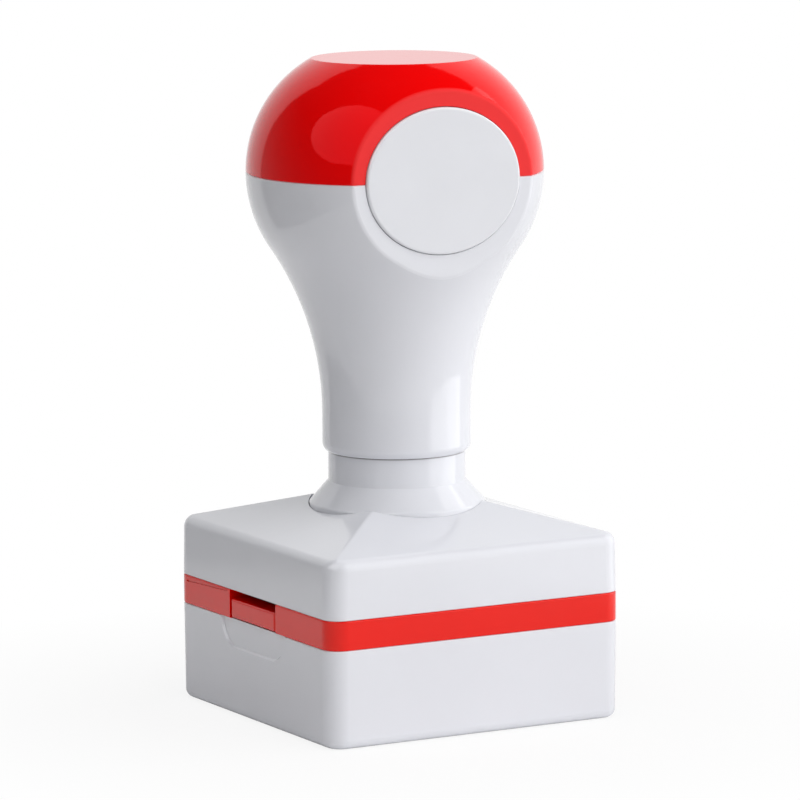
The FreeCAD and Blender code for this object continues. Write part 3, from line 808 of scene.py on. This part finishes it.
def camera_axes():
    """Right, up and back directions of an unrolled camera at the photograph's angle."""
    right = Vector((math.cos(CAMERA_AZIMUTH), math.sin(CAMERA_AZIMUTH), 0))
    back = Vector((-right.y, right.x, 0)) * -math.cos(CAMERA_ELEVATION)
    back.z = math.sin(CAMERA_ELEVATION)
    return right, back.cross(right), back


def add_camera():
    right, up, back = camera_axes()
    aim = right * CAMERA_AIM_RIGHT + Vector((0, 0, CAMERA_AIM_HEIGHT))
    rolled_right = right * math.cos(CAMERA_ROLL) + up * math.sin(CAMERA_ROLL)
    rolled_up = up * math.cos(CAMERA_ROLL) - right * math.sin(CAMERA_ROLL)
    data = bpy.data.cameras.new("photo_camera")
    data.lens = CAMERA_LENS_MM
    data.sensor_width = SENSOR_MM
    data.clip_start = 0.01
    camera = bpy.data.objects.new("photo_camera", data)
    turned = Matrix((rolled_right, rolled_up, back)).transposed().to_4x4()
    camera.matrix_world = Matrix.Translation(aim + back * CAMERA_DISTANCE) @ turned
    bpy.context.scene.collection.objects.link(camera)
    bpy.context.scene.camera = camera


def direction_from_stamp(swing_degrees, elevation_degrees):
    """Unit vector, swung from the camera's side towards its right, and raised."""
    right = camera_axes()[0]
    towards = Vector((right.y, -right.x, 0))
    swing = math.radians(swing_degrees)
    rise = math.radians(elevation_degrees)
    level = towards * math.cos(swing) + right * math.sin(swing)
    return level * math.cos(rise) + Vector((0, 0, math.sin(rise)))


# Share of the rectangle round it that a soft lamp of each shape fills.
LAMP_FILL = {"RECTANGLE": 1.0, "ELLIPSE": math.pi / 4}


def add_softbox(name, swing, elevation, width, height, radiance, shape="RECTANGLE"):
    """Hangs a soft lamp a metre off, in this direction in degrees, and gives it back."""
    direction = direction_from_stamp(swing, elevation)
    data = bpy.data.lights.new(name, "AREA")
    data.shape = shape
    data.size = width
    data.size_y = height
    data.energy = radiance * math.pi * width * height * LAMP_FILL[shape]
    lamp = bpy.data.objects.new(name, data)
    lamp.location = Vector((0, 0, CAMERA_AIM_HEIGHT)) + direction
    lamp.rotation_euler = direction.to_track_quat("Z", "Y").to_euler()
    bpy.context.scene.collection.objects.link(lamp)
    return lamp


def ray_is(tree, *kinds):
    """1 for rays of these kinds, and 0 for the others."""
    rays = add_node(tree, "ShaderNodeLightPath")
    found = rays.outputs[kinds[0]]
    for kind in kinds[1:]:
        found = add_node(
            tree, "ShaderNodeMath", {0: found, 1: rays.outputs[kind]}, operation="MAXIMUM"
        ).outputs[0]
    return found


# Reflections in the photograph place the white sweep behind the stamp and to its right. It fills
# the part of the room that lies within a right angle of both of these directions, which are given
# as a swing from the camera's side and an elevation.
SWEEP_SIDES = ((144, 0), (180, -29))
# The sweep's edge is soft over this much on either side, as a cosine.
SWEEP_EDGE = 0.02
# Beside the sweep the room dims from the horizon up to this rise, as a sine.
DIM_RISE = 0.6


def light_room(evenness, dimness, table):
    """White where it is looked at; in gloss a white sweep in a dim room; even as light."""
    world = bpy.data.worlds.new("studio_room")
    bpy.context.scene.world = world
    world.use_nodes = True
    tree = world.node_tree
    place = add_node(tree, "ShaderNodeTexCoord").outputs["Generated"]
    inside = [
        add_node(
            tree,
            "ShaderNodeVectorMath",
            {0: place, 1: direction_from_stamp(swing, elevation)},
            operation="DOT_PRODUCT",
        ).outputs["Value"]
        for swing, elevation in SWEEP_SIDES
    ]
    both = add_node(tree, "ShaderNodeMath", {0: inside[0], 1: inside[1]}, operation="MINIMUM")
    sweep = add_node(
        tree,
        "ShaderNodeMapRange",
        {"Value": both, "From Min": -SWEEP_EDGE, "From Max": SWEEP_EDGE},
    )
    height = add_node(tree, "ShaderNodeSeparateXYZ", {"Vector": place}).outputs["Z"]
    around = add_node(
        tree,
        "ShaderNodeMapRange",
        {"Value": height, "From Max": DIM_RISE, "To Min": table, "To Max": dimness},
    )
    gloss = add_node(tree, "ShaderNodeMapRange", {"Value": sweep, "To Min": around, "To Max": 1.0})
    mirrored = ray_is(tree, "Is Glossy Ray", "Is Transmission Ray")
    unseen = add_node(
        tree, "ShaderNodeMapRange", {"Value": mirrored, "To Min": evenness, "To Max": gloss}
    )
    strength = add_node(
        tree,
        "ShaderNodeMapRange",
        {"Value": ray_is(tree, "Is Camera Ray"), "To Min": unseen, "To Max": 1.0},
    )
    feed(tree.nodes["Background"], {"Color": (1, 1, 1, 1), "Strength": strength})


# The board's side edges show in the photograph as the ends of its reflection in the bulb, and its
# front edge as a darker middle of the collar.
BOARD_WIDTH = 0.25
BOARD_DEPTH = 0.6
BOARD_SET_BACK = 0.1
# The board lies this little below the stamp, so that their faces don't share one plane.
BOARD_DROP = 0.05 * MILLIMETRE
# The board has a square hole that the stamp covers, so that light reaches the underside.
HOLE_HALF = 20 * MILLIMETRE
BOARD_COLOUR = (0.9, 0.9, 0.9, 1)
# Distances from the stamp's middle between which the board goes over to plain white.
FADE_START = 35 * MILLIMETRE
FADE_END = 85 * MILLIMETRE


def studio_floor(lift):
    """Pale board that keeps the stamp's shadow, and goes over to plain white further off."""
    material = bpy.data.materials.new("Pale studio floor")
    material.use_nodes = True
    tree = material.node_tree
    tree.nodes.remove(tree.nodes["Principled BSDF"])
    board = add_node(tree, "ShaderNodeBsdfDiffuse", {"Color": BOARD_COLOUR})
    white = add_node(tree, "ShaderNodeEmission", {"Color": (1, 1, 1, 1), "Strength": 1.0})
    place = add_node(tree, "ShaderNodeTexCoord").outputs["Object"]
    away = add_node(tree, "ShaderNodeVectorMath", {0: place}, operation="LENGTH")
    # By the stamp only the camera sees the lift: reflections there keep the board's true shade.
    near = add_node(
        tree, "ShaderNodeMath", {0: ray_is(tree, "Is Camera Ray"), 1: lift}, operation="MULTIPLY"
    )
    fade = add_node(
        tree,
        "ShaderNodeMapRange",
        {
            "Value": away.outputs["Value"],
            "From Min": FADE_START,
            "From Max": FADE_END,
            "To Min": near,
            "To Max": 1.0,
        },
    )
    looked_at = ray_is(tree, "Is Camera Ray", "Is Glossy Ray", "Is Transmission Ray")
    share = add_node(tree, "ShaderNodeMath", {0: looked_at, 1: fade}, operation="MULTIPLY")
    lifted = add_node(tree, "ShaderNodeMixShader", {0: share, 1: board, 2: white})
    clear = add_node(tree, "ShaderNodeBsdfTransparent")
    # Looked at from below the board is see-through, so that the underside shows.
    under = add_node(tree, "ShaderNodeNewGeometry").outputs["Backfacing"]
    see_through = add_node(
        tree, "ShaderNodeMath", {0: under, 1: ray_is(tree, "Is Camera Ray")}, operation="MULTIPLY"
    )
    folded = add_node(tree, "ShaderNodeVectorMath", {0: place}, operation="ABSOLUTE")
    across = add_node(tree, "ShaderNodeSeparateXYZ", {"Vector": folded})
    furthest = add_node(
        tree,
        "ShaderNodeMath",
        {0: across.outputs["X"], 1: across.outputs["Y"]},
        operation="MAXIMUM",
    )
    hole = add_node(tree, "ShaderNodeMath", {0: furthest, 1: HOLE_HALF}, operation="LESS_THAN")
    open_here = add_node(tree, "ShaderNodeMath", {0: see_through, 1: hole}, operation="MAXIMUM")
    either = add_node(tree, "ShaderNodeMixShader", {0: open_here, 1: lifted, 2: clear})
    feed(tree.nodes["Material Output"], {"Surface": either})
    return material


class STAMP_OT_studio(bpy.types.Operator):
    """Set up the camera, the lamps, the room and the floor"""

    bl_idname = "stamp.studio"
    bl_label = "Studio"

    def execute(self, context):
        studio = context.scene.stamp_studio
        context.scene.view_settings.view_transform = "Standard"
        add_camera()
        add_softbox(
            "side_lamp", swing=85, elevation=17, width=1.31, height=1.43, radiance=studio.side
        )
        front = add_softbox(
            "front_lamp", swing=35, elevation=25, width=0.8, height=0.8, radiance=studio.front
        )
        top = add_softbox(
            "top_lamp", swing=0, elevation=75, width=0.8, height=0.8, radiance=studio.top
        )
        for lamp in (front, top):
            # The photograph shows no reflection of these two.
            lamp.visible_glossy = False
        panel = add_softbox(
            "left_panel",
            swing=-38,
            elevation=38,
            width=1.3,
            height=0.94,
            radiance=studio.panel,
            shape="ELLIPSE",
        )
        # The photograph shows this one as a reflection only.
        panel.visible_diffuse = False
        light_room(studio.room, studio.room_gloss, studio.table_gloss)
        deselect_all()
        set_back = direction_from_stamp(swing_degrees=180, elevation_degrees=0) * BOARD_SET_BACK
        bpy.ops.mesh.primitive_plane_add(
            size=1,
            location=set_back - Vector((0, 0, BOARD_DROP)),
            rotation=(0, 0, CAMERA_AZIMUTH),
        )
        floor = context.object
        floor.scale = (BOARD_WIDTH, BOARD_DEPTH, 1)
        bpy.ops.object.transform_apply()
        floor.name = "studio_floor"
        floor.data.materials.append(studio_floor(studio.floor_lift))
        return {"FINISHED"}


STEPS = (
    STAMP_OT_studio,
    STAMP_OT_white_shells,
    STAMP_OT_red_plastics,
    STAMP_OT_badge,
    STAMP_OT_mechanism,
    STAMP_OT_return_spring,
    STAMP_OT_ink_pad,
    STAMP_OT_printing_foam,
)


class STAMP_PT_sidebar(bpy.types.Panel):
    """Lists the stamp's steps, colours and sizes"""

    bl_label = "Hand stamp"
    bl_space_type = "VIEW_3D"
    bl_region_type = "UI"
    bl_category = "Stamp"

    def draw(self, context):
        scene = context.scene
        for step in STEPS:
            self.layout.operator(step.bl_idname)
        for group in (scene.stamp_colours, scene.stamp_sizes, scene.stamp_studio):
            box = self.layout.box()
            for name in group.__annotations__:
                box.prop(group, name)


CLASSES = (StampColours, StampSizes, StampStudio, *STEPS, STAMP_PT_sidebar)


def register():
    for item in CLASSES:
        bpy.utils.register_class(item)
    bpy.types.Scene.stamp_colours = bpy.props.PointerProperty(type=StampColours)
    bpy.types.Scene.stamp_sizes = bpy.props.PointerProperty(type=StampSizes)
    bpy.types.Scene.stamp_studio = bpy.props.PointerProperty(type=StampStudio)


def unregister():
    del bpy.types.Scene.stamp_studio
    del bpy.types.Scene.stamp_sizes
    del bpy.types.Scene.stamp_colours
    for item in reversed(CLASSES):
        bpy.utils.unregister_class(item)


def main():
    register()
    for step in STEPS:
        family, name = step.bl_idname.split(".")
        getattr(getattr(bpy.ops, family), name)()


if __name__ == "__main__":
    main()
